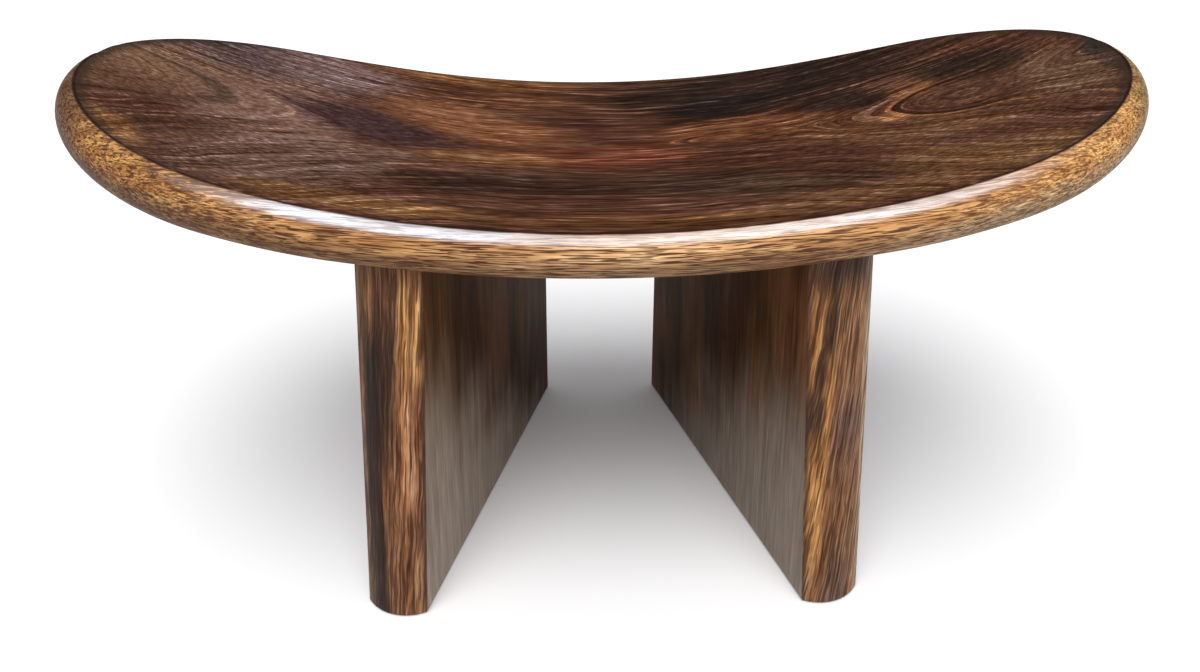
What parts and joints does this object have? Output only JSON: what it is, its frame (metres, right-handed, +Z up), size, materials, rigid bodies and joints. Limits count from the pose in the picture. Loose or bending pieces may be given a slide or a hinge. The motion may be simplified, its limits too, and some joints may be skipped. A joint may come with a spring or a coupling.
{
  "type": "kneeling bench headrest",
  "caption": "Low dark wooden bench or headrest: an upswept oval plank, hollowed on top, on two thick slab legs set in a V.",
  "frame": {"origin": "on the floor, under the middle of the seat", "axes": "+X along the seat, tip to tip; +Y from the near side, where the legs stand wide apart, to the far side, where they close in; +Z up"},
  "size_m": [0.45, 0.1934, 0.2325],
  "materials": {
    "seat_wood": "dark brown stain under a satin varnish, open pores left showing, golden brown on the rounded rim",
    "leg_wood": "the same dark stain, smooth and semi-gloss on the faces, bold upright grain on the near edge",
    "dowel_wood": "plain unfinished beech, hidden inside the joints"
  },
  "bodies": {
    "root": {"seat": "seat_wood", "left_leg": "leg_wood", "right_leg": "leg_wood", "left_leg_dowel_front": "dowel_wood", "left_leg_dowel_middle": "dowel_wood", "left_leg_dowel_back": "dowel_wood", "right_leg_dowel_front": "dowel_wood", "right_leg_dowel_middle": "dowel_wood", "right_leg_dowel_back": "dowel_wood"}
  },
  "joints": []
}
